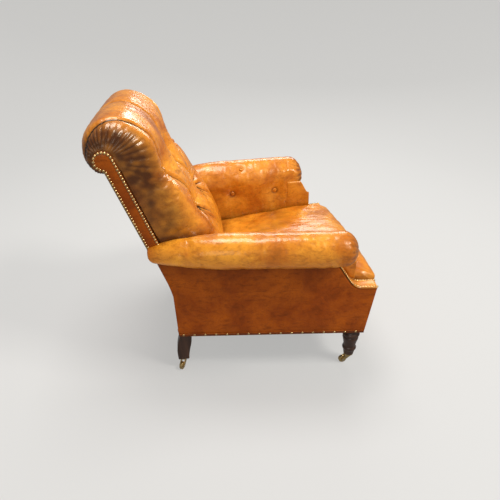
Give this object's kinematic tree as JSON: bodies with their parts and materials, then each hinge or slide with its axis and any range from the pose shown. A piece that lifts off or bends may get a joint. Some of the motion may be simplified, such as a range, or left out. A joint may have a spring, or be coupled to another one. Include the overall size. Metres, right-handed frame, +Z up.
{
  "type": "upholstered armchair",
  "caption": "Deep leather armchair with a raked, buttoned, rolled-over back, padded roll arms, nailed facings, sprung seat and turned legs on castors.",
  "frame": {"origin": "on the floor under the middle of the chair's overall box", "axes": "+X towards the sitter's left arm, -Y the way the chair faces, +Z up"},
  "size_m": [0.8514, 0.8672, 0.8589],
  "materials": {
    "tan_leather": "glossy hand-dyed tan hide",
    "side_leather": "glossy darker chestnut hide",
    "walnut": "polished dark stain",
    "beech": "raw sawn",
    "webbing": "jute",
    "hessian": "coarse weave",
    "black_cloth": "matt cotton",
    "spring_steel": "coppered wire",
    "nail_brass": "polished domes",
    "castor_brass": "polished",
    "castor_steel": "bright"
  },
  "bodies": {
    "chair": {"front_rail": "beech", "rear_rail": "beech", "crest_rail": "beech", "back_lower_rail": "beech", "corner_blocks": "beech", "side_rail_left": "beech", "side_rail_right": "beech", "arm_post_left": "beech", "arm_post_right": "beech", "arm_rail_left": "beech", "arm_rail_right": "beech", "shoulder_block_left": "beech", "shoulder_block_right": "beech", "scroll_board_left": "beech", "scroll_board_right": "beech", "rear_leg_left": "walnut", "rear_leg_right": "walnut", "front_leg_left": "walnut", "front_leg_right": "walnut", "seat_webbing": "webbing", "back_webbing": "webbing", "seat_springs": "spring_steel", "spring_canvas": "hessian", "dust_cover": "black_cloth", "seat_pad": "tan_leather", "back_pad": "tan_leather", "front_border": "tan_leather", "outside_back_panel": "side_leather", "base_banding": "side_leather", "arm_pad_left": "tan_leather", "arm_pad_right": "tan_leather", "shoulder_cap_left": "tan_leather", "shoulder_cap_right": "tan_leather", "side_panel_left": "side_leather", "side_panel_right": "side_leather", "back_facing_left": "side_leather", "back_facing_right": "side_leather", "back_buttons": "tan_leather", "arm_buttons": "tan_leather", "facing_nails_left": "nail_brass", "facing_nails_right": "nail_brass", "shoulder_nails": "nail_brass", "base_nails": "nail_brass", "castor_plate_front_left": "castor_brass", "castor_plate_front_right": "castor_brass", "castor_plate_rear_left": "castor_brass", "castor_plate_rear_right": "castor_brass", "castor_screws": "castor_steel"},
    "castor_fork_front_left": {"castor_horn_front_left": "castor_brass", "castor_axle_front_left": "castor_steel"},
    "castor_roller_front_left": {"castor_wheel_front_left": "castor_brass"},
    "castor_fork_front_right": {"castor_horn_front_right": "castor_brass", "castor_axle_front_right": "castor_steel"},
    "castor_roller_front_right": {"castor_wheel_front_right": "castor_brass"},
    "castor_fork_rear_left": {"castor_horn_rear_left": "castor_brass", "castor_axle_rear_left": "castor_steel"},
    "castor_roller_rear_left": {"castor_wheel_rear_left": "castor_brass"},
    "castor_fork_rear_right": {"castor_horn_rear_right": "castor_brass", "castor_axle_rear_right": "castor_steel"},
    "castor_roller_rear_right": {"castor_wheel_rear_right": "castor_brass"}
  },
  "joints": [
    {"name": "castor_swivel_front_left", "type": "hinge", "parent": "chair", "child": "castor_fork_front_left", "pos_m": [0.31449, -0.36129, 0.032], "axis": [0, 0, 1], "continuous": true},
    {"name": "castor_spin_front_left", "type": "hinge", "parent": "castor_fork_front_left", "child": "castor_roller_front_left", "pos_m": [0.31449, -0.3413, 0.0135], "axis": [1, 0, 0], "continuous": true},
    {"name": "castor_swivel_front_right", "type": "hinge", "parent": "chair", "child": "castor_fork_front_right", "pos_m": [-0.31449, -0.36129, 0.032], "axis": [0, 0, 1], "continuous": true},
    {"name": "castor_spin_front_right", "type": "hinge", "parent": "castor_fork_front_right", "child": "castor_roller_front_right", "pos_m": [-0.31449, -0.3413, 0.0135], "axis": [1, 0, 0], "continuous": true},
    {"name": "castor_swivel_rear_left", "type": "hinge", "parent": "chair", "child": "castor_fork_rear_left", "pos_m": [0.252, 0.21486, 0.032], "axis": [0, 0, 1], "continuous": true},
    {"name": "castor_spin_rear_left", "type": "hinge", "parent": "castor_fork_rear_left", "child": "castor_roller_rear_left", "pos_m": [0.27013, 0.22331, 0.0135], "axis": [0.4226, -0.9063, 0], "continuous": true},
    {"name": "castor_swivel_rear_right", "type": "hinge", "parent": "chair", "child": "castor_fork_rear_right", "pos_m": [-0.252, 0.21486, 0.032], "axis": [0, 0, 1], "continuous": true},
    {"name": "castor_spin_rear_right", "type": "hinge", "parent": "castor_fork_rear_right", "child": "castor_roller_rear_right", "pos_m": [-0.27013, 0.22331, 0.0135], "axis": [0.4226, 0.9063, 0], "continuous": true}
  ]
}
